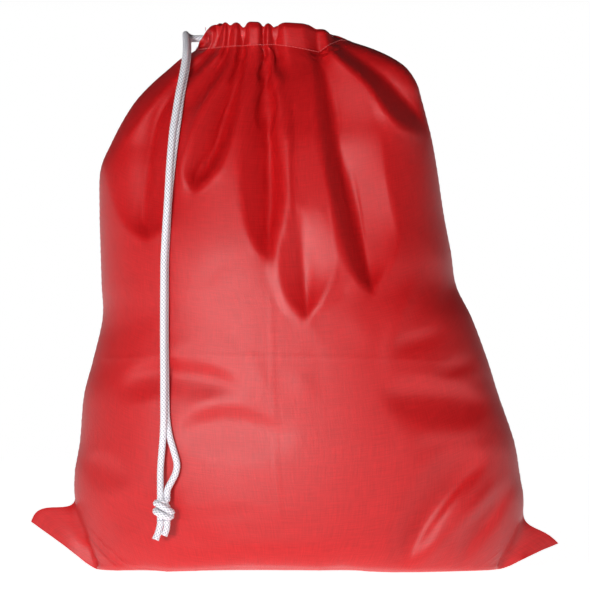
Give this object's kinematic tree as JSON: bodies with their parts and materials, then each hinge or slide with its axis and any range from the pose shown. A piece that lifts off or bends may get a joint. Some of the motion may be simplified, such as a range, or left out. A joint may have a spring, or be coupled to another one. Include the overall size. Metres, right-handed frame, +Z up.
{
  "type": "stuff sack",
  "caption": "Filled-out cloth sack on its base with a gathered hem and a doubled white drawcord knotted at its free ends.",
  "frame": {"origin": "middle of the base on the floor", "axes": "+Z up; -Y is the front, where the cord hangs; +X is to the right seen from the front; the side and bottom seams lie in the plane Y = 0"},
  "size_m": [0.512, 0.2684, 0.53],
  "materials": {
    "sack_cloth": "smooth plain-woven nylon with a satin sheen",
    "thread": "matched sewing thread",
    "cord": "round braid, slightly glossy"
  },
  "bodies": {
    "sack": {"front_panel": "sack_cloth", "back_panel": "sack_cloth", "left_corner_ear": "sack_cloth", "right_corner_ear": "sack_cloth", "bottom_seam": "sack_cloth", "left_side_seam": "sack_cloth", "right_side_seam": "sack_cloth", "casing_left_end": "sack_cloth", "casing_right_end": "sack_cloth", "exit_bartacks": "thread", "drawcord_exit_bends": "cord", "drawcord_far_bend": "cord"},
    "mouth_front": {"casing_front": "sack_cloth", "casing_thread_front": "thread", "drawcord_front_run": "cord"},
    "mouth_back": {"casing_back": "sack_cloth", "casing_thread_back": "thread", "drawcord_back_run": "cord"},
    "drawcord": {"drawcord_front_strand": "cord", "drawcord_back_strand": "cord", "drawcord_knot": "cord", "drawcord_ends": "cord"}
  },
  "joints": [
    {"name": "mouth_open", "type": "slide", "parent": "sack", "child": "mouth_front", "axis": [0, -1, 0], "range_m": [0, 0.04]},
    {"name": "mouth_open_back", "type": "slide", "parent": "sack", "child": "mouth_back", "axis": [0, 1, 0], "range_m": [0, 0.04]},
    {"name": "drawcord_draw", "type": "slide", "parent": "sack", "child": "drawcord", "axis": [0, -0.1483, 0.9889], "range_m": [0, 0.08]}
  ],
  "couplings": [
    {"joint": "mouth_open_back", "follows": "mouth_open", "ratio": 1},
    {"joint": "drawcord_draw", "follows": "mouth_open", "ratio": 2}
  ]
}
